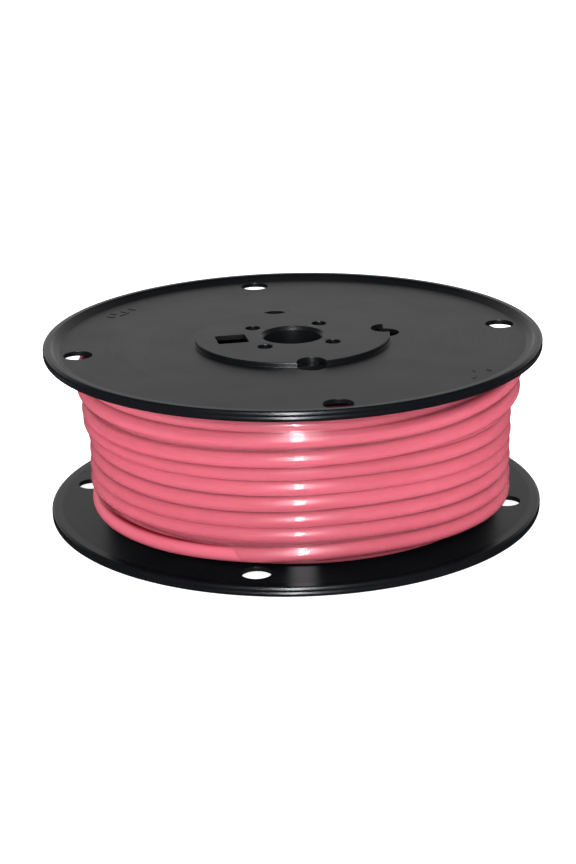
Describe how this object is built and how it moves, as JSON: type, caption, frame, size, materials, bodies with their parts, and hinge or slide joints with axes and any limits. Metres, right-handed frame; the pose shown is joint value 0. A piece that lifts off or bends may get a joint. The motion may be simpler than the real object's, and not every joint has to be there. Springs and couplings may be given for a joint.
{
  "type": "line spool",
  "caption": "Flat two-flange plastic reel with a central arbor bore, filled with heavy round pink line under a clear film.",
  "frame": {"origin": "centre of the base, where the lower flange's rim stands", "axes": "+Z along the spool's axis, from the lower flange to the upper; -X towards the upper flange's drive window"},
  "size_m": [0.165, 0.165, 0.0593],
  "materials": {
    "flange_plastic": "black injection-moulded plastic with a satin skin and a glossier rim",
    "barrel_plastic": "black moulded plastic",
    "line_plastic": "smooth glossy pink extruded plastic",
    "clear_film": "thin clear stretched film, glossy"
  },
  "bodies": {
    "root": {"upper_flange": "flange_plastic", "lower_flange": "flange_plastic", "core_barrel": "barrel_plastic", "line_coil": "line_plastic", "line_start_end": "line_plastic", "clear_wrap": "clear_film"}
  },
  "joints": []
}
